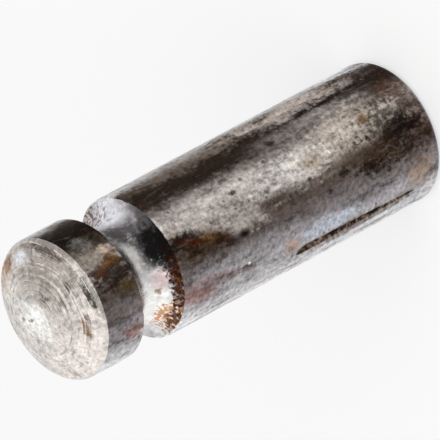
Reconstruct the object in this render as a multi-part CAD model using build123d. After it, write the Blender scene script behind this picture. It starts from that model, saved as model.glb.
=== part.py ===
from build123d import *
import math
import os

# Grooved pin with a gorge: a short round steel pin turned and pressed from one bar.
# The lower part is a shank that is driven into a drilled hole. Three tapered V grooves are
# pressed into it, and the metal they push aside stands up as lips that grip the hole.
# Near the other end a round-bottomed gorge runs all the way round, for a spring's hook or
# a retaining wire, and a crowned head closes the pin above it.
# Frame: the origin is the centre of the flat end, and +Z runs along the pin to the head.
# All sizes are in millimetres.

# Shank
shank_diameter = 10.0
overall_length = 32.0
plain_end_round = 0.6       # rounded lead-in at the flat end

# Gorge and head
head_height = 4.8           # from the gorge's upper edge to the top of the crown
gorge_width = 3.7
neck_diameter = 6.4         # at the floor of the gorge
gorge_edge_break = 0.12     # chamfer on both edges of the gorge
crown_radius = 10.0         # spherical end of the head
crown_edge_round = 0.6

# Pressed grooves
groove_count = 3
groove_start = 3.0          # shallow end, measured from the flat end
groove_end = 12.9           # deep end
groove_start_depth = 0.24
groove_end_depth = 0.50
groove_angle = 90.0         # included angle of the V
groove_height = 1.3         # height of the pressing edge above its tip
shallow_ramp = 14.0         # angle at which the groove fades out at the shallow end
shallow_ramp_radius = 4.0
deep_ramp = 38.0            # angle at which the pressing edge leaves the deep end
deep_ramp_radius = 1.4

# Lips raised beside each groove
lip_height = 0.20           # above the shank, at the deep end
lip_start_height = 0.05     # above the shank, at the shallow end
lip_section_radius = 3.0
lip_fade = 1.2              # how far the lips run past each end of the groove
lip_bend_radius = 5.0

shank_radius = shank_diameter / 2
neck_radius = neck_diameter / 2
gorge_end = overall_length - head_height
gorge_start = gorge_end - gorge_width
crown_start = overall_length - (crown_radius - math.sqrt(crown_radius**2 - shank_radius**2))


def turned_blank():
    """The pin as it leaves the lathe: shank, gorge and crowned head in one turning."""
    gorge_floor = (gorge_start + gorge_end) / 2
    outline = Wire([
        Line((0, 0, 0), (shank_radius, 0, 0)).edge(),
        Line((shank_radius, 0, 0), (shank_radius, 0, gorge_start)).edge(),
        ThreePointArc(
            (shank_radius, 0, gorge_start),
            (neck_radius, 0, gorge_floor),
            (shank_radius, 0, gorge_end),
        ).edge(),
        Line((shank_radius, 0, gorge_end), (shank_radius, 0, crown_start)).edge(),
        ThreePointArc(
            (shank_radius, 0, crown_start),
            crown_point(shank_radius / 2),
            (0, 0, overall_length),
        ).edge(),
        Line((0, 0, overall_length), (0, 0, 0)).edge(),
    ])
    blank = revolve(Face(outline), Axis.Z)
    rims = blank.edges().filter_by(GeomType.CIRCLE)
    blank = fillet(edges_at(rims, 0), plain_end_round)
    rims = blank.edges().filter_by(GeomType.CIRCLE)
    blank = fillet(edges_at(rims, crown_start), crown_edge_round)
    rims = blank.edges().filter_by(GeomType.CIRCLE)
    gorge_edges = edges_at(rims, gorge_start) + edges_at(rims, gorge_end)
    return chamfer(gorge_edges, gorge_edge_break)


def crown_point(radius):
    """A point of the crowned end at that distance from the axis."""
    drop = crown_radius - math.sqrt(crown_radius**2 - radius**2)
    return (radius, 0, overall_length - drop)


def edges_at(rims, height):
    """The outermost circular edges at that height."""
    return rims.filter_by(
        lambda rim: abs(rim.center().Z - height) < 1e-4 and abs(rim.radius - shank_radius) < 1e-4
    )


def pressing_edge():
    """The wedge that presses one groove, placed on the +X side of the shank."""
    shallow_tip = shank_radius - groove_start_depth
    deep_tip = shank_radius - groove_end_depth
    lead = groove_height + groove_end_depth
    run_in = lead / math.tan(math.radians(shallow_ramp))
    run_out = lead / math.tan(math.radians(deep_ramp))
    path = FilletPolyline(
        (shallow_tip + lead, 0, groove_start - run_in),
        (shallow_tip, 0, groove_start),
        (deep_tip, 0, groove_end),
        (deep_tip + lead, 0, groove_end + run_out),
        radius=(shallow_ramp_radius, deep_ramp_radius),
    )
    half_width = groove_height * math.tan(math.radians(groove_angle / 2))
    wedge = Plane(origin=path @ 0, x_dir=(0, 1, 0), z_dir=path % 0) * make_face(
        Polyline((0, 0), (half_width, -groove_height), (-half_width, -groove_height), close=True)
    )
    return sweep(wedge, path=path)


def lip_swelling():
    """The swelling that one groove pushes up, before the groove is cut through its crest."""
    low = shank_radius + lip_start_height - lip_section_radius
    high = shank_radius + lip_height - lip_section_radius
    sunk = shank_radius - lip_section_radius - lip_height
    path = FilletPolyline(
        (sunk, 0, groove_start - 2 * lip_fade),
        (low, 0, groove_start),
        (high, 0, groove_end),
        (sunk, 0, groove_end + 2 * lip_fade),
        radius=(lip_bend_radius, lip_bend_radius),
    )
    section = Plane(origin=path @ 0, z_dir=path % 0) * Circle(lip_section_radius)
    return sweep(section, path=path)


def grooved_pin():
    """The finished pin: the swellings are raised first, then the grooves are pressed in."""
    around = [Rot(0, 0, turn * 360 / groove_count) for turn in range(groove_count)]
    pin = turned_blank()
    for place in around:
        pin += place * lip_swelling()
    for place in around:
        pin -= place * pressing_edge()
    return pin


os.makedirs("parts", exist_ok=True)
pin = grooved_pin()
pin.label = "grooved_pin"
export_step(pin, "parts/grooved_pin.step")
print(f"grooved pin: {pin.volume:.1f} mm3, {pin.volume * 7.85e-3:.2f} g in steel")
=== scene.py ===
import math

import bmesh
import bpy
from mathutils import Matrix, Vector, noise


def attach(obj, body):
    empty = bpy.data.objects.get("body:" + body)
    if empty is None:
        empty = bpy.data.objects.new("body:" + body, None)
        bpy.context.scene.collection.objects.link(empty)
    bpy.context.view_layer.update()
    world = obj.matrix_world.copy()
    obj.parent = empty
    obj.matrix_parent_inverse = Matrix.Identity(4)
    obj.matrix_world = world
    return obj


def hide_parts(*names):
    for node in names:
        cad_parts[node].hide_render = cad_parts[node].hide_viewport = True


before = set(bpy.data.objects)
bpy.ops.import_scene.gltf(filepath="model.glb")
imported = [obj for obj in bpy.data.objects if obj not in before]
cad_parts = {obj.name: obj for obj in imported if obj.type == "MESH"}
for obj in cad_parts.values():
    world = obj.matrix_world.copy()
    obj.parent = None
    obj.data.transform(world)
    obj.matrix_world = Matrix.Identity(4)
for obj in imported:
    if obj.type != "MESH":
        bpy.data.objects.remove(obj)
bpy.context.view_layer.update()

mm = 0.001
frontAzimuth = 57.5            # degrees from +X to the middle of the pin's front

# the pin's shape, in millimetres

pinShape = {
    "radius": 5.0,
    "length": 32.0,
    "endRound": 0.6,
    "gorgeStart": 23.5,
    "gorgeEnd": 27.2,
    "neckRadius": 3.2,
    "edgeBreak": 0.12,
    "crownRadius": 10.0,
    "crownRound": 0.6,
    "steps": 360,              # around the pin
    "rowLength": 0.155,        # along the outline
    "roundRows": 8,            # over the crown's rounded edge
    "crowding": 0.17,          # draws the columns together where the grooves are
    "samePlace": 0.0001,       # points closer than this are one
    "sharpAngle": 32,          # edges that turn by more degrees than this look sharp
}

grooveShape = {
    "azimuths": (0.0, 120.0, 240.0),
    "start": 3.0,
    "end": 12.9,
    "startDepth": 0.24,
    "endDepth": 0.50,
    "rampIn": 14.0,            # degrees
    "rampOut": 38.0,
    "rampInBlend": 0.06,
    "rampOutBlend": 0.12,
    "floorRound": 0.03,        # fills the bottom of the V this high
    "floorWidth": 0.09,
    "lipStart": 0.05,
    "lipEnd": 0.20,
    "lipRadius": 3.0,
    "lipFade": 2.4,
    "lipBlend": 0.03,
    "reach": 2.5,              # how far past its ends a groove is felt
    "halfTurn": 0.5,           # and how far to each side, in radians
}

wear = {
    "dentSpacing": 1.3,        # shallow dents over the side
    "dentDepth": 0.05,
    "dentLevel": 0.25,         # only where the noise is above this
    "nickSpacing": 0.7,        # nicks along the sharp edges of the gorge
    "nickDepth": 0.16,
    "nickLevel": 0.15,
    "nickReach": 0.3,
    "turningDepth": 0.012,     # rings left by the lathe on the crown
    "turningPitch": 0.42,
    "pipRadius": 0.7,
    "pipDepth": 0.05,
    "pipWidth": 0.2,
}


def drawRun(bm, last, x, z):
    # a straight stretch of the outline, in short rows
    start, end = last.co.copy(), Vector((x, 0, z))
    rows = max(1, round((end - start).length / pinShape["rowLength"]))
    for row in range(rows):
        new = bm.verts.new(start.lerp(end, (row + 1) / rows))
        bm.edges.new((last, new))
        last = new
    return last


def drawArc(bm, last, x, z, degrees, rows=None):
    # the last point swung about (x, z), in the plane of the outline
    radius = (last.co - Vector((x, 0, z))).length
    if rows is None:
        rows = max(2, round(radius * math.radians(abs(degrees)) / pinShape["rowLength"]))
    swung = bmesh.ops.spin(bm, geom=[last], cent=(x, 0, z), axis=(0, -1, 0), dvec=(0, 0, 0),
                           angle=math.radians(degrees), steps=rows, use_merge=False)
    return next(part for part in swung["geom_last"] if isinstance(part, bmesh.types.BMVert))


def drawOutline(bm):
    s = pinShape
    r = s["radius"]
    halfGap = (s["gorgeEnd"] - s["gorgeStart"]) / 2
    middle = (s["gorgeEnd"] + s["gorgeStart"]) / 2
    depth = r - s["neckRadius"]
    gorgeRadius = (halfGap ** 2 + depth ** 2) / (2 * depth)
    gorgeX = s["neckRadius"] + gorgeRadius
    half = math.atan2(halfGap, gorgeRadius - depth) - s["edgeBreak"] / gorgeRadius     # of the gorge's arc
    ball = s["length"] - s["crownRadius"]              # height of the centre that the crown is turned about
    roundX = r - s["crownRound"]
    roundZ = ball + math.sqrt((s["crownRadius"] - s["crownRound"]) ** 2 - roundX ** 2)
    turn = math.degrees(math.atan2(roundZ - ball, roundX))

    point = bm.verts.new((0, 0, 0))
    point = drawRun(bm, point, r - s["endRound"], 0)
    point = drawArc(bm, point, r - s["endRound"], s["endRound"], 90)
    point = drawRun(bm, point, r, s["gorgeStart"] - s["edgeBreak"])
    point = drawRun(bm, point, gorgeX - gorgeRadius * math.cos(half), middle - gorgeRadius * math.sin(half))
    point = drawArc(bm, point, gorgeX, middle, -2 * math.degrees(half))
    point = drawRun(bm, point, r, s["gorgeEnd"] + s["edgeBreak"])
    point = drawRun(bm, point, r, roundZ)
    point = drawArc(bm, point, roundX, roundZ, turn, s["roundRows"])
    point = drawArc(bm, point, 0, ball, 90 - turn)
    point.co.x = 0


def softMax(a, b, blend):
    # the larger of two heights, rounded where they cross
    h = max(0.0, min(1.0, 0.5 + 0.5 * (a - b) / blend))
    return b + (a - b) * h + blend * h * (1 - h)


def pressGroove(turn, z):
    # radius of the shank where a groove and its two lips have been pressed; turn is from the groove's middle
    g = grooveShape
    r = pinShape["radius"]
    along = (z - g["start"]) / (g["end"] - g["start"])
    lip = g["lipStart"] + (g["lipEnd"] - g["lipStart"]) * max(0.0, min(1.0, along))
    past = max(0.0, g["start"] - z, z - g["end"])
    lip -= (g["lipEnd"] + lip) * (past / g["lipFade"]) ** 2 / 2
    core = r + lip - g["lipRadius"]
    swollen = core * math.cos(turn) + math.sqrt(g["lipRadius"] ** 2 - (core * math.sin(turn)) ** 2)
    swollen = softMax(r, swollen, g["lipBlend"])
    tip = r - g["startDepth"] + (g["startDepth"] - g["endDepth"]) * along
    rampIn = r - g["startDepth"] + (g["start"] - z) * math.tan(math.radians(g["rampIn"]))
    rampOut = r - g["endDepth"] + (z - g["end"]) * math.tan(math.radians(g["rampOut"]))
    tip = softMax(softMax(tip, rampIn, g["rampInBlend"]), rampOut, g["rampOutBlend"])
    wall = tip / (math.cos(turn) - abs(math.sin(turn)))          # the two sides stand at 90 degrees
    pressed = wall + g["floorRound"] * math.exp(-(turn * r / g["floorWidth"]) ** 2)
    return min(swollen, pressed)


def wornRadius(radius, angle, z):
    # dents over the side and nicks where two faces meet, all inwards
    s = pinShape
    place = Vector((radius * math.cos(angle), radius * math.sin(angle), z))
    dent = max(0, noise.noise(place / wear["dentSpacing"]) - wear["dentLevel"]) * wear["dentDepth"]
    nearest = min(abs(z - edge) for edge in (s["gorgeStart"], s["gorgeEnd"]))
    nick = 0
    if nearest < wear["nickReach"] and radius > s["radius"] - wear["nickReach"]:
        nick = max(0, noise.noise(place / wear["nickSpacing"]) - wear["nickLevel"]) * wear["nickDepth"]
        nick *= 1 - nearest / wear["nickReach"]
    return radius - dent - nick


def wornCrown(radius, z):
    # turning rings, and the shallow one that leaves a small pip at the centre
    ring = 0.5 + 0.5 * math.cos(2 * math.pi * radius / wear["turningPitch"])
    moat = math.exp(-((radius - wear["pipRadius"]) / wear["pipWidth"]) ** 2)
    return z - wear["turningDepth"] * ring - wear["pipDepth"] * moat


def shapeSurface(bm):
    s = pinShape
    g = grooveShape
    r = s["radius"]
    for v in bm.verts:
        radius = math.hypot(v.co.x, v.co.y)
        if radius < s["samePlace"]:
            continue
        angle = math.atan2(v.co.y, v.co.x)
        angle -= s["crowding"] * math.sin(len(g["azimuths"]) * angle)
        z = v.co.z
        if abs(radius - r) < s["samePlace"] and g["start"] - g["reach"] < z < g["end"] + g["reach"]:
            for azimuth in g["azimuths"]:
                turn = (angle - math.radians(azimuth) + math.pi) % (2 * math.pi) - math.pi
                if abs(turn) < g["halfTurn"]:
                    radius = pressGroove(turn, z)
        if z > s["gorgeEnd"] and radius < r - s["crownRound"]:
            z = wornCrown(radius, z)
        elif z > s["endRound"]:
            radius = wornRadius(radius, angle, z)
        v.co = (radius * math.cos(angle), radius * math.sin(angle), z)


def makePin():
    s = pinShape
    bm = bmesh.new()
    drawOutline(bm)
    bmesh.ops.spin(bm, geom=bm.verts[:] + bm.edges[:], cent=(0, 0, 0), axis=(0, 0, 1), dvec=(0, 0, 0),
                   angle=2 * math.pi, steps=s["steps"], use_merge=True)
    bmesh.ops.remove_doubles(bm, verts=bm.verts, dist=s["samePlace"])
    shapeSurface(bm)
    bmesh.ops.recalc_face_normals(bm, faces=bm.faces)
    bmesh.ops.scale(bm, vec=(mm, mm, mm), verts=bm.verts)
    for face in bm.faces:
        face.smooth = True
    for edge in bm.edges:
        if edge.is_manifold and edge.calc_face_angle() > math.radians(s["sharpAngle"]):
            edge.smooth = False
    mesh = bpy.data.meshes.new("wornPin")
    bm.to_mesh(mesh)
    bm.free()
    pin = bpy.data.objects.new("wornPin", mesh)
    bpy.context.scene.collection.objects.link(pin)
    print("pin:", len(mesh.polygons), "faces")
    return pin


pin = makePin()

# the steel's finish

steel = {
    # noises: size of the patches in mm, detail, roughness, and warp for the last
    "streak": (0.6, 5, 0.68),
    "fine": (0.36, 3, 0.62),
    "cloud": (2.6, 4, 0.6),
    "small": (0.3, 2, 0.6),
    "middle": (0.9, 4, 0.66),
    "dust": (0.42, 4, 0.72, 0.5),
    "drawnOut": 0.3,           # streaks are this much finer round the pin than along it
    "apart": 40.0,             # mm between the places that two noises are read from
    "darkFlecks": (0.49, 0.37),
    "paleFlecks": (0.52, 0.68),
    "darkFleckMix": 0.42,
    "paleFleckMix": 0.13,
    "darkFleckColour": "#332217",
    "paleFleckColour": "#a8998a",
    "mottle": (1.9, 1.8, -0.85),       # shares of small and middle, and what brings their mean to 1
    "mottleLimits": (0.2, 2.2),
    "markBite": 4.0,           # how deep grit eats into a mark, for a raggedness of 1
    "markEdge": (-0.6, 0.6),   # where a mark fades in, going inwards from its edge
    "markReach": (2.3, 1.2),   # and how far out its fringe goes, its half width being 1
    "pits": {"Spacing": 0.55, "Share": 0.28, "Width": 0.26},
    "speckWidths": (0.4, 1.2), # least and greatest, as shares of Width
    "speckEdge": (1.1, 0.5),
    "gloss": 0.03,             # the shine of scale and rust; the metal has its own
    "scaleToClean": (0.02, 0.25),      # brightness of all scale, and of all metal
    "leastMetal": 0.08,
    "roughSpread": 0.3,
    "relief": 0.04 * mm,
}


def colour(code):
    # "#rrggbb" as a linear colour
    parts = [int(code[i:i + 2], 16) / 255 for i in (1, 3, 5)]
    return [c / 12.92 if c <= 0.04045 else ((c + 0.055) / 1.055) ** 2.4 for c in parts] + [1]


def addNode(tree, kind, inputs=(), **settings):
    # a node with its settings, and with values or links put into its sockets by name or number
    node = tree.nodes.new(kind)
    for name, value in settings.items():
        setattr(node, name, value)
    for name, value in dict(inputs).items():
        if isinstance(value, bpy.types.NodeSocket):
            tree.links.new(value, node.inputs[name])
        else:
            node.inputs[name].default_value = value
    return node


def calc(tree, operation, a, b=0.0, c=0.0):
    return addNode(tree, "ShaderNodeMath", {0: a, 1: b, 2: c}, operation=operation).outputs[0]


def vectorCalc(tree, operation, a, b=(0, 0, 0)):
    node = addNode(tree, "ShaderNodeVectorMath", {0: a, 1: b}, operation=operation)
    return node.outputs["Value" if operation == "LENGTH" else "Vector"]


def stretch(tree, value, low, high, smooth=True):
    # value from low to high becomes 0 to 1, held at both ends
    return addNode(tree, "ShaderNodeMapRange", {"Value": value, "From Min": low, "From Max": high},
                   interpolation_type="SMOOTHSTEP" if smooth else "LINEAR").outputs["Result"]


def mixColour(tree, amount, a, b):
    return addNode(tree, "ShaderNodeMix", {0: amount, 6: a, 7: b}, data_type="RGBA").outputs[2]


def mixValue(tree, amount, a, b):
    return addNode(tree, "ShaderNodeMix", {0: amount, 2: a, 3: b}, data_type="FLOAT").outputs[0]


def centred(tree, value, width):
    # a noise as a swing of that width about nothing
    return calc(tree, "MULTIPLY", calc(tree, "SUBTRACT", value, 0.5), width)


def noiseOf(tree, where, size, detail, rough, warp=0.0):
    # cloudy noise with patches about that many millimetres across
    node = addNode(tree, "ShaderNodeTexNoise", {"Vector": where, "Scale": 1 / size, "Detail": detail,
                   "Roughness": rough, "Distortion": warp})
    return node.outputs["Fac"]


def startGroup(name, inputs, outputs):
    # an empty node group with its sockets
    tree = bpy.data.node_groups.new(name, "ShaderNodeTree")
    kinds = {"value": "NodeSocketFloat", "vector": "NodeSocketVector"}
    for label, kind, default in inputs:
        socket = tree.interface.new_socket(label, in_out="INPUT", socket_type=kinds[kind])
        socket.default_value = default
    for label, kind in outputs:
        tree.interface.new_socket(label, in_out="OUTPUT", socket_type=kinds[kind])
    return tree, tree.nodes.new("NodeGroupInput").outputs, tree.nodes.new("NodeGroupOutput").inputs


def placesOn(tree):
    # where a point is on the pin, in millimetres: solid in space, unrolled as (around, up), and from above
    place = addNode(tree, "ShaderNodeTexCoord").outputs["Object"]
    turned = addNode(tree, "ShaderNodeMapping", {"Vector": place, "Scale": (1 / mm, 1 / mm, 1 / mm),
                     "Rotation": (0, 0, -math.radians(frontAzimuth))}).outputs[0]
    parts = addNode(tree, "ShaderNodeSeparateXYZ", {0: turned}).outputs
    angle = calc(tree, "ARCTAN2", parts["Y"], parts["X"])
    arc = calc(tree, "MULTIPLY", angle, pinShape["radius"])
    above = addNode(tree, "ShaderNodeCombineXYZ", {"X": parts["X"], "Y": parts["Y"]}).outputs[0]
    unrolled = addNode(tree, "ShaderNodeCombineXYZ", {"X": arc, "Y": parts["Z"]}).outputs[0]
    return {"solid": turned, "unrolled": unrolled, "above": above, "around": calc(tree, "DEGREES", angle),
            "up": parts["Z"], "radius": vectorCalc(tree, "LENGTH", above)}


def makeMark():
    # one soft-edged mark: a turned oval whose edge is eaten into by Grit
    tree, given, out = startGroup("steelMark",
        [("Where", "vector", (0, 0, 0)), ("Centre", "vector", (0, 0, 0)), ("Size", "vector", (1, 1, 1)),
         ("Turn", "vector", (0, 0, 0)), ("Grit", "value", 0.5), ("Ragged", "value", 0.5),
         ("Strength", "value", 1.0)], [("Mask", "value")])
    offset = vectorCalc(tree, "SUBTRACT", given["Where"], given["Centre"])
    # a mark that runs past the back comes in again on the other side
    half, far = math.pi * pinShape["radius"], 3 * pinShape["length"]
    offset = addNode(tree, "ShaderNodeVectorMath", {0: offset, 1: (half, far, far), 2: (-half, -far, -far)},
                     operation="WRAP").outputs[0]
    local = addNode(tree, "ShaderNodeMapping", {"Vector": offset, "Rotation": given["Turn"],
                    "Scale": given["Size"]}, vector_type="TEXTURE").outputs[0]
    reach = vectorCalc(tree, "LENGTH", local)           # 1 on the oval's edge
    bite = calc(tree, "MULTIPLY", centred(tree, given["Grit"], steel["markBite"]), given["Ragged"])
    near = calc(tree, "ADD", calc(tree, "SUBTRACT", 1.0, reach), bite)
    inside = stretch(tree, near, *steel["markEdge"])
    mask = calc(tree, "MULTIPLY", inside, stretch(tree, reach, *steel["markReach"]))
    tree.links.new(calc(tree, "MULTIPLY", mask, given["Strength"]), out["Mask"])
    return tree


def makeSpecks():
    # scattered small round specks: Share of the cells hold one, of different widths
    tree, given, out = startGroup("steelSpecks",
        [("Where", "vector", (0, 0, 0)), ("Spacing", "value", 1.0), ("Share", "value", 0.3),
         ("Width", "value", 0.3)], [("Mask", "value")])
    cells = addNode(tree, "ShaderNodeTexVoronoi", {"Vector": given["Where"],
                    "Scale": calc(tree, "DIVIDE", 1.0, given["Spacing"])})
    chance = addNode(tree, "ShaderNodeSeparateColor", {0: cells.outputs["Color"]}).outputs
    held = calc(tree, "LESS_THAN", chance["Red"], given["Share"])
    width = calc(tree, "MULTIPLY", given["Width"], mixValue(tree, chance["Green"], *steel["speckWidths"]))
    speck = stretch(tree, calc(tree, "DIVIDE", cells.outputs["Distance"], width), *steel["speckEdge"])
    tree.links.new(calc(tree, "MULTIPLY", speck, held), out["Mask"])
    return tree


markGroup = makeMark()
speckGroup = makeSpecks()

# colour of the side all the way round, scale and rust under painted light: the dark band from 36 to 62
# degrees is a painted reflection of a dark side of the room, the near-white bands beyond 78 and -67 degrees
# are painted reflections of the bright room and floor, and the pale band from 7 to 17 degrees holds a painted
# highlight; degrees from the middle of the front, counter-clockwise as seen from above, and the colour there
sideColoursAndPaintedLight = [
    (-180, "#857d77"), (-92, "#ececef"), (-67, "#cac8ca"), (-42, "#8d888b"), (-24, "#6a6261"),
    (-13, "#574b45"), (-3, "#7c7067"), (7, "#a69c94"), (17, "#aca49e"), (26, "#827974"), (36, "#3a2f28"),
    (49, "#24170e"), (62, "#56493f"), (78, "#b9b6b5"), (92, "#d8d8d8"), (130, "#8c8783"), (180, "#857d77"),
]

# marks on the shank, laid one over another: colour, (degrees round, mm up), half width and height in mm,
# degrees turned, strength, raggedness of the edge
shankMarks = [
    ("#463b34", (-15, 17.5), (1.1, 6.0), 0, 0.4, 1.3),
    ("#a4a1a4", (-38, 18.0), (1.1, 5.0), 0, 0.5, 1.1),
    ("#6f6865", (-32, 8.0), (0.9, 4.5), 0, 0.4, 1.2),
    ("#241a17", (50, 2.2), (1.1, 2.2), 0, 0.8, 0.8),
    ("#8b8480", (36, 8.4), (0.8, 4.4), 0, 0.8, 0.8),
    # painted shade: the near-black line along the near lip of the upper groove
    ("#060404", (47.5, 7.8), (0.17, 4.0), 0, 0.94, 0.5),
    ("#b3a8a1", (61, 8.8), (0.95, 5.2), 0, 0.85, 1.1),
    ("#43352b", (-54.2, 10.2), (0.28, 3.4), 0, 0.85, 1.0),
    ("#5b4a3e", (-60.6, 8.2), (0.24, 4.4), 0, 0.7, 1.1),
    # painted reflection: the dark band of the side drawn on towards the gorge
    ("#271d17", (47, 18.6), (1.2, 5.4), 0, 0.6, 1.0),
    ("#7a6c62", (61, 17.0), (0.7, 5.4), 0, 0.5, 1.5),
    ("#5d4035", (8, 1.3), (2.3, 1.0), 0, 0.6, 1.3),
    ("#eceef4", (80, 1.9), (0.9, 1.9), 0, 0.65, 1.1),
    ("#d8cbbc", (15, 5.8), (1.4, 3.2), 0, 0.6, 1.5),
    ("#eee9e4", (8, 12.4), (1.0, 3.2), 0, 0.65, 1.3),
    ("#cfcac5", (13, 18.4), (1.2, 4.4), 0, 0.45, 1.3),
    ("#1c0c05", (0, 3.3), (1.9, 2.2), 0, 0.8, 1.9),
    ("#060303", (-1, 2.9), (0.8, 1.3), 0, 0.9, 1.6),
    ("#2c1806", (-10, 5.7), (0.85, 2.4), -10, 0.78, 1.6),
    ("#170b04", (-17, 6.4), (0.35, 0.9), 0, 0.85, 1.2),
    ("#aa8b6c", (-40, 2.0), (1.0, 1.2), 0, 0.45, 1.3),
    ("#4e3524", (33, 1.9), (0.6, 0.9), 0, 0.7, 1.2),
    ("#6b4d24", (18, 4.95), (0.36, 0.42), 0, 0.85, 0.5),
    ("#846a42", (7, 10.4), (0.45, 0.9), 0, 0.55, 1.4),
    ("#463a31", (-7, 14.8), (0.5, 2.6), 4, 0.6, 1.3),
    ("#c3bcb5", (-8, 17.3), (0.8, 1.7), 0, 0.55, 1.2),
    ("#020101", (-17, 17.7), (0.27, 0.42), 0, 0.98, 0.5),
    ("#150d0b", (-12, 8.4), (0.26, 0.36), 0, 0.85, 1.0),
    ("#1b1412", (-20, 9.9), (0.15, 0.2), 0, 0.8, 0.8),
    ("#1b1412", (35, 12.0), (0.2, 0.34), 0, 0.85, 0.9),
    ("#241a17", (14, 17.1), (0.2, 0.28), 0, 0.8, 1.1),
    ("#2a211f", (21, 15.9), (0.14, 0.18), 0, 0.7, 0.9),
    ("#1b1412", (-4, 11.2), (0.13, 0.16), 0, 0.85, 0.6),
    ("#352415", (-13, 21.6), (0.9, 2.2), -15, 0.75, 1.3),
    ("#60431a", (-8, 20.5), (0.38, 1.5), -22, 0.7, 1.4),
    ("#241107", (-14, 19.4), (0.4, 1.1), -20, 0.85, 1.2),
    ("#140500", (-2, 22.6), (0.75, 1.5), -22, 0.96, 1.1),
    ("#421b07", (-5, 22.0), (0.28, 0.8), -20, 0.7, 1.3),
    ("#90554c", (-46, 22.3), (0.6, 1.6), -12, 0.6, 1.2),
    ("#7f5d56", (-40, 20.4), (0.4, 1.8), -12, 0.5, 1.2),
    ("#553c38", (-46, 17.8), (0.24, 0.8), -15, 0.6, 1.0),
    ("#fffdf8", (-42, 17.7), (0.1, 0.13), -25, 0.9, 0.3),
    # painted highlight: the bluish-white patch on the lip above the lower groove
    ("#c6cfdd", (-44, 10.6), (0.55, 2.4), 0, 0.6, 1.1),
    ("#a37f65", (-47, 13.9), (0.45, 0.65), 0, 0.6, 1.0),
    # the back
    ("#2a201b", (128, 6.0), (2.3, 4.8), 10, 0.8, 1.4),
    ("#402b1a", (165, 19.5), (2.0, 2.9), -15, 0.8, 1.4),
    ("#c6bcb2", (-150, 12.5), (1.9, 6.4), 6, 0.65, 1.4),
    ("#21160f", (-118, 4.0), (1.6, 2.8), 0, 0.85, 1.4),
    ("#4a3322", (-105, 21.4), (1.6, 1.8), 20, 0.75, 1.4),
]

# what lies in the pressed grooves
grooveMarks = [
    ("#b8aca4", (62, 9.0), (1.6, 5.6), 0, 0.85, 1.2),
    ("#120a08", (-57, 12.5), (0.8, 0.9), 0, 0.8, 1.0),
]

# on the head
headMarks = [
    # painted reflection: the side's dark band carried onto the head
    ("#0b0705", (52, 29.0), (1.6, 2.2), 0, 0.85, 1.0),
    ("#1c0b02", (33, 27.9), (1.1, 0.7), 0, 0.9, 1.0),
    ("#7c7d78", (36, 29.2), (0.5, 0.6), 0, 0.55, 1.1),
    ("#160700", (4, 28.7), (1.25, 2.1), 0, 0.95, 1.2),
    ("#5c5148", (22, 28.9), (1.1, 1.7), 0, 0.55, 1.2),
    ("#cbb6a4", (23, 28.1), (0.3, 0.45), 0, 0.8, 1.4),
    ("#a89f92", (20, 29.6), (0.45, 0.8), 0, 0.55, 1.4),
    ("#6f4a1c", (14, 28.2), (0.35, 0.8), 10, 0.8, 1.5),
    ("#4a2511", (6, 29.4), (0.3, 0.6), 0, 0.6, 1.4),
    ("#4a3b10", (-10, 28.0), (0.45, 0.7), 0, 0.75, 1.2),
    ("#6a6260", (-20, 29.2), (0.6, 1.8), 0, 0.4, 1.2),
    ("#86584c", (-47, 28.2), (0.6, 0.9), 0, 0.7, 1.1),
    ("#291d17", (150, 28.8), (2.4, 1.4), 0, 0.8, 1.2),
    ("#c1b8ad", (-160, 28.9), (1.9, 1.4), 0, 0.65, 1.2),
]

# and in the gorge: the first six, dark, grey and pale patches round the front, are painted reflection, dark
# where the head's shaded underside is mirrored and pale where the bright room is; the pink and brown spots
# are rust
gorgeStainsAndReflections = [
    ("#2b2421", (50, 25.0), (2.0, 0.7), 0, 0.8, 0.7),
    ("#020101", (6, 23.85), (2.9, 1.15), 0, 0.98, 0.4),
    ("#5f5a5f", (45, 24.3), (1.0, 0.5), 0, 0.7, 0.8),
    ("#e2e2ea", (76, 23.9), (1.7, 0.7), 0, 0.85, 0.8),
    ("#c4c0bd", (10, 25.5), (1.4, 0.6), 0, 0.8, 1.0),
    ("#fffefb", (-64, 24.7), (3.6, 1.5), 0, 0.98, 0.5),
    ("#c4a0a2", (-26, 24.2), (0.8, 0.6), 0, 0.6, 1.0),
    ("#8a5f48", (-38, 24.5), (0.3, 0.2), 0, 0.8, 1.2),
    ("#3a2a20", (120, 26.2), (2.6, 0.8), 0, 0.6, 1.2),
]

# rust speckles along the gorge's edges, and darker ones over them
rustMarks = [
    ("#260c06", (-20, 23.6), (1.4, 0.25), 0, 0.95, 1.2),
    ("#a05a1c", (-48, 23.55), (1.9, 0.14), 0, 0.75, 1.5),
    ("#c68038", (-72, 23.9), (1.3, 0.36), 0, 0.85, 1.6),
    ("#5e3b20", (150, 24.0), (4.0, 0.8), 0, 0.8, 1.6),
]
darkRustMarks = [
    ("#2a1106", (-38, 23.55), (1.6, 0.2), 0, 0.9, 1.5),
    ("#4a240d", (-70, 23.6), (1.3, 0.18), 0, 0.8, 1.4),
    ("#2c1a10", (-150, 26.6), (3.5, 0.6), 0, 0.8, 1.4),
]

# marks on the flat end: the same, but placed by (mm towards the front, mm across)
endMarks = [
    ("#43322a", (1.5, 2.0), (2.5, 1.5), 30, 0.7, 1.4),
    ("#b9b1a9", (-1.0, -1.2), (2.3, 1.9), 0, 0.6, 1.3),
    ("#261c17", (-3.0, 2.4), (1.3, 1.8), 20, 0.75, 1.4),
    ("#70492a", (2.6, -2.4), (1.1, 0.9), -20, 0.65, 1.5),
]

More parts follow.
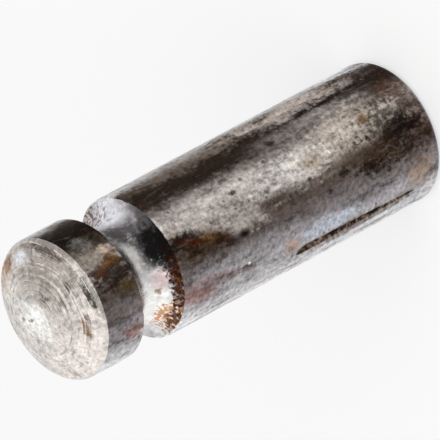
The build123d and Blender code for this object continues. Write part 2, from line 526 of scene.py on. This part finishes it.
# and on the crown
crownMarks = [
    ("#8f857c", (1.9, 2.6), (3.2, 2.2), -30, 0.7, 1.2),
    ("#efe6e0", (0.8, -3.4), (3.4, 1.8), 10, 0.7, 1.1),
    ("#dcd8d4", (-3.0, 0.0), (2.6, 4.4), 0, 0.6, 1.1),
    ("#c8a48c", (-2.6, 3.6), (1.2, 0.8), 30, 0.45, 1.2),
    ("#4f4038", (2.9, 3.7), (1.9, 0.45), -38, 0.8, 1.1),
    ("#94694a", (-1.6, 4.0), (0.8, 0.45), 15, 0.8, 1.2),
    ("#e3e8f0", (0.2, 4.0), (0.9, 0.4), -5, 0.7, 0.8),
    ("#83603f", (3.1, -2.0), (0.28, 0.75), -15, 0.85, 1.3),
    ("#513d2c", (3.6, -1.5), (0.2, 0.3), 0, 0.8, 1.1),
    ("#2a1c14", (4.7, -0.4), (0.3, 1.6), 0, 0.9, 1.0),
    # painted highlight: the near-white spot by the crown's centre
    ("#fffefa", (-0.6, -0.2), (1.3, 1.2), 0, 0.97, 0.9),
    ("#6f6d57", (-0.95, 0.05), (0.3, 0.12), -10, 0.85, 0.7),
    ("#80796a", (-1.75, 0.35), (0.2, 0.14), 0, 0.8, 0.7),
    ("#5c544c", (1.45, 0.85), (0.22, 0.16), 0, 0.8, 0.9),
    ("#6b6258", (2.6, 0.1), (0.18, 0.3), 0, 0.7, 0.9),
    ("#514a43", (3.55, 0.85), (0.18, 0.3), 0, 0.85, 0.9),
]

mmPerDegree = math.radians(pinShape["radius"])          # round the pin's side


def layMarks(tree, where, grit, base, marks, step=mmPerDegree):
    # the marks one after another over base; step is the mm for each unit of their first place number
    for code, place, size, turn, strength, ragged in marks:
        mask = addNode(tree, "ShaderNodeGroup", {"Where": where, "Centre": (place[0] * step, place[1], 0),
                       "Size": (*size, 1), "Turn": (0, 0, math.radians(turn)), "Grit": grit,
                       "Ragged": ragged, "Strength": strength}, node_tree=markGroup).outputs["Mask"]
        base = mixColour(tree, mask, base, colour(code))
    return base


def tint(tree, mask, strength, base, code):
    # a colour over base where the mask is
    return mixColour(tree, calc(tree, "MULTIPLY", mask, strength), base, colour(code))


def rampOf(tree, value, stops):
    # stops are (place from 0 to 1, linear colour)
    node = addNode(tree, "ShaderNodeValToRGB", {"Fac": value})
    while len(node.color_ramp.elements) < len(stops):
        node.color_ramp.elements.new(0.5)
    for element, (place, paint) in zip(node.color_ramp.elements, stops):
        element.position = place
    for element, (place, paint) in zip(node.color_ramp.elements, stops):
        element.color = paint
    return node.outputs["Color"]


def openSteel(name):
    # a new material with its shader, the places on the pin and the noises that all the finishes share
    material = bpy.data.materials.new(name)
    material.use_nodes = True
    tree = material.node_tree
    tree.nodes.clear()
    out = addNode(tree, "ShaderNodeOutputMaterial")
    shader = addNode(tree, "ShaderNodeBsdfPrincipled", {"Specular IOR Level": steel["gloss"]})
    tree.links.new(shader.outputs[0], out.inputs["Surface"])
    at = placesOn(tree)
    solid, apart = at["solid"], steel["apart"]
    drawn = vectorCalc(tree, "MULTIPLY", solid, (1, 1, steel["drawnOut"]))
    at["streak"] = noiseOf(tree, drawn, *steel["streak"])
    at["fine"] = noiseOf(tree, solid, *steel["fine"])
    at["cloud"] = noiseOf(tree, solid, *steel["cloud"])
    at["grit"] = mixValue(tree, 0.5, at["streak"], at["fine"])
    small = noiseOf(tree, vectorCalc(tree, "ADD", solid, (apart, 0, 0)), *steel["small"])
    middle = noiseOf(tree, vectorCalc(tree, "ADD", drawn, (0, apart, 0)), *steel["middle"])
    dust = noiseOf(tree, vectorCalc(tree, "ADD", drawn, (0, 0, apart)), *steel["dust"])
    forSmall, forMiddle, rest = steel["mottle"]
    mottle = calc(tree, "MULTIPLY_ADD", middle, forMiddle, rest)
    at["mottle"] = calc(tree, "MULTIPLY_ADD", small, forSmall, mottle)
    at["darkFlecks"] = stretch(tree, mixValue(tree, 0.5, middle, dust), *steel["darkFlecks"])
    at["paleFlecks"] = stretch(tree, dust, *steel["paleFlecks"])
    at["pits"] = addNode(tree, "ShaderNodeGroup", {"Where": solid, **steel["pits"]},
                         node_tree=speckGroup).outputs["Mask"]
    return material, tree, shader, at


def closeSteel(tree, shader, at, paint, height, dull, shine):
    # dark and rusty places are dull and hardly metallic, pale ones are shiny metal; height is the fine relief
    bright = addNode(tree, "ShaderNodeRGBToBW", {0: paint}).outputs[0]
    clean = stretch(tree, bright, *steel["scaleToClean"])
    rough = mixValue(tree, clean, dull, shine)
    rough = calc(tree, "ADD", rough, centred(tree, at["grit"], steel["roughSpread"]))
    relief = addNode(tree, "ShaderNodeBump", {"Strength": 1.0, "Distance": steel["relief"], "Height": height})
    tree.links.new(paint, shader.inputs["Base Color"])
    tree.links.new(mixValue(tree, clean, steel["leastMetal"], 1.0), shader.inputs["Metallic"])
    tree.links.new(rough, shader.inputs["Roughness"])
    tree.links.new(relief.outputs[0], shader.inputs["Normal"])


def mottled(tree, at, paint, strength):
    # lighter and darker flecks, as strong for their ground in dark places as in light ones
    low, high = steel["mottleLimits"]
    factor = mixValue(tree, min(strength, 1.0), 1.0, at["mottle"])
    factor = addNode(tree, "ShaderNodeClamp", {"Value": factor, "Min": low, "Max": high}).outputs[0]
    paint = addNode(tree, "ShaderNodeVectorMath", {0: paint, "Scale": factor}, operation="SCALE").outputs[0]
    paint = tint(tree, at["paleFlecks"], steel["paleFleckMix"] * strength, paint, steel["paleFleckColour"])
    return tint(tree, at["darkFlecks"], steel["darkFleckMix"] * strength, paint, steel["darkFleckColour"])


sideSteel = {
    "cloudSway": 22.0,         # degrees that the colours wander round the pin
    "gritSway": 26.0,
    "mottling": 1.0,
    "pitMix": 0.55,
    "pitColour": "#2a211d",
    "pitDepth": 0.5,
    "rubbed": (0.5, 0.1),      # mm up, where the lead-in is rubbed pale
    "rubbedMix": 0.6,
    "rubbedColour": "#8f94a3",
    "dull": 0.62,              # roughness of scale, and of clean metal
    "shine": 0.42,
}

grooveSteel = {
    "foot": (1.6, 2.2),        # mm up, from where to where the finish comes in
    "top": (15.0, 14.5),
    "wall": (4.985, 4.9),      # mm from the axis
    "split": (0.75, 1.35),     # mottling that is dark scale, and that is pale scale
    "colours": ("#2a1d15", "#7d6b5d"),
    "mottling": 1.4,
}


def makeSideSteel(name, marks, grooved):
    # the weathered outside of the shank or the head, with painted reflection and highlight bands round it
    s, g = sideSteel, grooveSteel
    material, tree, shader, at = openSteel(name)
    around = calc(tree, "ADD", at["around"], centred(tree, at["cloud"], s["cloudSway"]))
    around = calc(tree, "ADD", around, centred(tree, at["grit"], s["gritSway"]))
    # painted reflections and highlight: the ramp's bands stand for the room mirrored in the steel, over the
    # scale's own colour
    paint = rampOf(tree, stretch(tree, around, -180, 180, smooth=False),
                   [((degrees + 180) / 360, colour(code)) for degrees, code in sideColoursAndPaintedLight])
    paint = layMarks(tree, at["unrolled"], at["grit"], paint, marks)
    paint = mottled(tree, at, paint, s["mottling"])
    paint = tint(tree, at["pits"], s["pitMix"], paint, s["pitColour"])
    if grooved:
        low = calc(tree, "MULTIPLY", stretch(tree, at["up"], *g["foot"]), stretch(tree, at["up"], *g["top"]))
        pressed = calc(tree, "MULTIPLY", stretch(tree, at["radius"], *g["wall"]), low)
        dark, pale = g["colours"]
        floor = mixColour(tree, stretch(tree, at["mottle"], *g["split"]), colour(dark), colour(pale))
        floor = layMarks(tree, at["unrolled"], at["grit"], floor, grooveMarks)
        paint = mixColour(tree, pressed, paint, mottled(tree, at, floor, g["mottling"]))
    paint = tint(tree, stretch(tree, at["up"], *s["rubbed"]), s["rubbedMix"], paint, s["rubbedColour"])
    height = calc(tree, "SUBTRACT", at["grit"], calc(tree, "MULTIPLY", at["pits"], s["pitDepth"]))
    closeSteel(tree, shader, at, paint, height, s["dull"], s["shine"])
    return material


faceSteel = {
    "endColour": "#8f8983",
    "crownColour": "#d2cbc5",
    "ringWander": 0.5,         # mm that the rings stray from round
    "rings": {"Scale": 4.5, "Detail": 3.0, "Roughness": 0.7},
    "ringGrit": 0.4,
    "darkRings": (0.5, 0.68),
    "darkBreaks": (0.42, 0.62),
    "darkMix": 0.45,
    "darkColour": "#5f5851",
    "paleRings": (0.48, 0.34),
    "paleBreaks": (0.4, 0.6),
    "paleMix": 0.5,
    "paleColour": "#f4f1ec",
    "mottling": 0.6,
    "rim": (4.72, 4.84),       # mm from the axis
    "rimWander": 0.2,
    "rimMix": 0.25,
    "rimColour": "#e6e1da",
    "pitMix": 0.3,
    "pitColour": "#4b4038",
    "ringHeight": 1.1,
    "dull": 0.6,
    "shine": 0.45,
}


def makeFaceSteel(name, marks, base):
    # a turned face: broken rings, dark and pale, and a paler rim
    s = faceSteel
    material, tree, shader, at = openSteel(name)
    wander = calc(tree, "ADD", at["radius"], calc(tree, "MULTIPLY", at["cloud"], s["ringWander"]))
    rings = addNode(tree, "ShaderNodeTexNoise", {"W": wander, **s["rings"]}, noise_dimensions="1D").outputs[0]
    grit = mixValue(tree, s["ringGrit"], at["fine"], rings)
    paint = layMarks(tree, at["above"], grit, colour(base), marks, step=1.0)
    unbroken = stretch(tree, at["fine"], *s["darkBreaks"])
    dark = calc(tree, "MULTIPLY", stretch(tree, rings, *s["darkRings"]), unbroken)
    paint = tint(tree, dark, s["darkMix"], paint, s["darkColour"])
    unbroken = stretch(tree, at["streak"], *s["paleBreaks"])
    pale = calc(tree, "MULTIPLY", stretch(tree, rings, *s["paleRings"]), unbroken)
    paint = tint(tree, pale, s["paleMix"], paint, s["paleColour"])
    paint = mottled(tree, at, paint, s["mottling"])
    rim = calc(tree, "ADD", at["radius"], centred(tree, at["streak"], s["rimWander"]))
    paint = tint(tree, stretch(tree, rim, *s["rim"]), s["rimMix"], paint, s["rimColour"])
    paint = tint(tree, at["pits"], s["pitMix"], paint, s["pitColour"])
    height = calc(tree, "MULTIPLY", rings, s["ringHeight"])
    closeSteel(tree, shader, at, paint, height, s["dull"], s["shine"])
    return material


gorgeSteel = {
    "clouds": (0.3, 0.7),
    "colours": ("#9b9798", "#c3c1c3"),
    "fineGrit": 0.7,
    "mottling": 0.3,
    "speckle": (0.24, 2, 0.55),        # noises that eat into the rust marks, as in steel
    "blots": (0.26, 2, 0.55),
    "reliefShare": 0.3,
    "dull": 0.5,
    "shine": 0.26,
}


def makeGorgeSteel():
    # the cleaner, shinier cut of the gorge, with painted reflections of the head's shaded underside and of
    # the bright room, and rust creeping in over its edges
    s = gorgeSteel
    material, tree, shader, at = openSteel("gorgeSteel")
    dark, pale = s["colours"]
    paint = mixColour(tree, stretch(tree, at["cloud"], *s["clouds"]), colour(dark), colour(pale))
    grit = mixValue(tree, s["fineGrit"], at["streak"], at["fine"])
    # painted reflection: dark and pale patches laid over the gorge's steel
    paint = layMarks(tree, at["unrolled"], grit, paint, gorgeStainsAndReflections)
    paint = mottled(tree, at, paint, s["mottling"])
    speckle = noiseOf(tree, at["solid"], *s["speckle"])
    blots = noiseOf(tree, vectorCalc(tree, "ADD", at["solid"], (0, 0, 2 * steel["apart"])), *s["blots"])
    paint = layMarks(tree, at["unrolled"], speckle, paint, rustMarks)
    paint = layMarks(tree, at["unrolled"], blots, paint, darkRustMarks)
    height = calc(tree, "MULTIPLY", at["grit"], s["reliefShare"])
    closeSteel(tree, shader, at, paint, height, s["dull"], s["shine"])
    return material


finishHeights = {
    "endFace": 0.02,           # mm up to which each finish goes
    "shank": pinShape["gorgeStart"],
    "gorge": pinShape["gorgeEnd"],
    "head": 30.5,
    "crown": pinShape["length"] + 1,
}


def dressPin(pin):
    # each stretch of the pin gets its own finish, by its height
    finishes = {
        "endFace": makeFaceSteel("endSteel", endMarks, faceSteel["endColour"]),
        "shank": makeSideSteel("shankSteel", shankMarks, True),
        "gorge": makeGorgeSteel(),
        "head": makeSideSteel("headSteel", headMarks, False),
        "crown": makeFaceSteel("crownSteel", crownMarks, faceSteel["crownColour"]),
    }
    for material in finishes.values():
        pin.data.materials.append(material)
    tops = [finishHeights[part] * mm for part in finishes]
    for face in pin.data.polygons:
        face.material_index = next(i for i, top in enumerate(tops) if face.center.z < top)
    print("finishes:", len(finishes))


dressPin(pin)

# the camera, in millimetres and degrees

view = {
    "azimuth": frontAzimuth,
    "tilt": 54.21,             # between the view and the pin's own line
    "roll": 28.13,
    "distance": 1304.95,
    "lens": 1636.4,
    "sensor": 36,
    "aim": (0, 0, 17.21),
    "slide": (1.194, 0.698),   # the camera's own move to its right and up
    "nearest": 0.01,           # what it sees, in metres
    "furthest": 20,
}


def makeCamera():
    azimuth, tilt, roll = (math.radians(view[name]) for name in ("azimuth", "tilt", "roll"))
    up = Vector((0, 0, 1))
    front = Vector((math.cos(azimuth), math.sin(azimuth), 0))
    side = Vector((math.sin(azimuth), -math.cos(azimuth), 0))
    along = math.cos(tilt) * front - math.sin(tilt) * up         # down the pin, as the camera sees it
    right = math.cos(roll) * along + math.sin(roll) * side
    down = math.cos(roll) * side - math.sin(roll) * along
    into = -math.cos(tilt) * up - math.sin(tilt) * front
    slide = view["slide"][0] * right - view["slide"][1] * down
    spot = (Vector(view["aim"]) + slide - view["distance"] * into) * mm
    data = bpy.data.cameras.new("camera")
    data.sensor_width = view["sensor"]
    data.lens = view["lens"]
    data.clip_start = view["nearest"]
    data.clip_end = view["furthest"]
    camera = bpy.data.objects.new("camera", data)
    turned = Matrix((right, -down, -into)).transposed()
    camera.matrix_world = Matrix.Translation(spot) @ turned.to_4x4()
    bpy.context.scene.collection.objects.link(camera)
    bpy.context.scene.camera = camera
    print("camera done")


makeCamera()

# studio, in metres and watts: a pale floor, a soft lamp over the camera's shoulder and a white room

studio = {
    "floorSize": 0.7,
    "floorGap": 0.00002,       # keeps the paper clear of the flat end
    "roomLight": 0.62,
    "lampPower": 0.27,
    "lampSize": 0.34,
    "lampPlace": (0.088, 0.152, 0.21),
    "paperTone": 0.92,
    "paperSeen": 0.55,         # the paper as the camera and the steel see it, so that its shadow is pale
    "paperGlow": 0.53,
}


def seenBy(tree):
    # 1 for what the camera, a reflection or glass shows, 0 for light on its way to the pin
    rays = addNode(tree, "ShaderNodeLightPath").outputs
    seen = calc(tree, "MAXIMUM", rays["Is Camera Ray"], rays["Is Glossy Ray"])
    return calc(tree, "MAXIMUM", seen, rays["Is Transmission Ray"])


def makeRoom():
    world = bpy.data.worlds.new("studio")
    bpy.context.scene.world = world
    world.use_nodes = True
    tree = world.node_tree
    tree.nodes.clear()
    sky = addNode(tree, "ShaderNodeBackground", {"Color": (1, 1, 1, 1),
                  "Strength": mixValue(tree, seenBy(tree), studio["roomLight"], 1.0)})
    out = addNode(tree, "ShaderNodeOutputWorld")
    tree.links.new(sky.outputs[0], out.inputs["Surface"])


def makeFloor():
    bm = bmesh.new()
    bmesh.ops.create_grid(bm, x_segments=1, y_segments=1, size=studio["floorSize"] / 2)
    mesh = bpy.data.meshes.new("floor")
    bm.to_mesh(mesh)
    bm.free()
    floor = bpy.data.objects.new("floor", mesh)
    floor.location.z = -studio["floorGap"]
    bpy.context.scene.collection.objects.link(floor)
    paper = bpy.data.materials.new("whitePaper")
    paper.use_nodes = True
    tree = paper.node_tree
    tree.nodes.clear()
    out = addNode(tree, "ShaderNodeOutputMaterial")
    matt = addNode(tree, "ShaderNodeBsdfDiffuse", {"Color": [studio["paperTone"]] * 3 + [1]})
    pale = addNode(tree, "ShaderNodeBsdfDiffuse", {"Color": [studio["paperSeen"]] * 3 + [1]})
    glow = addNode(tree, "ShaderNodeEmission", {"Color": (1, 1, 1, 1), "Strength": studio["paperGlow"]})
    both = addNode(tree, "ShaderNodeAddShader", {0: pale.outputs[0], 1: glow.outputs[0]})
    pick = addNode(tree, "ShaderNodeMixShader", {0: seenBy(tree), 1: matt.outputs[0], 2: both.outputs[0]})
    tree.links.new(pick.outputs[0], out.inputs["Surface"])
    mesh.materials.append(paper)


def makeLamp():
    data = bpy.data.lights.new("softLamp", "AREA")
    data.shape = "SQUARE"
    data.size = studio["lampSize"]
    data.energy = studio["lampPower"]
    lamp = bpy.data.objects.new("softLamp", data)
    lamp.location = studio["lampPlace"]
    aim = Vector((0, 0, pinShape["length"] / 2 * mm)) - lamp.location
    lamp.rotation_euler = aim.to_track_quat("-Z", "Y").to_euler()
    bpy.context.scene.collection.objects.link(lamp)


makeRoom()
makeFloor()
makeLamp()
print("studio done")

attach(pin, "root")
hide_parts("grooved_pin")
bpy.context.scene.view_settings.view_transform = "Standard"
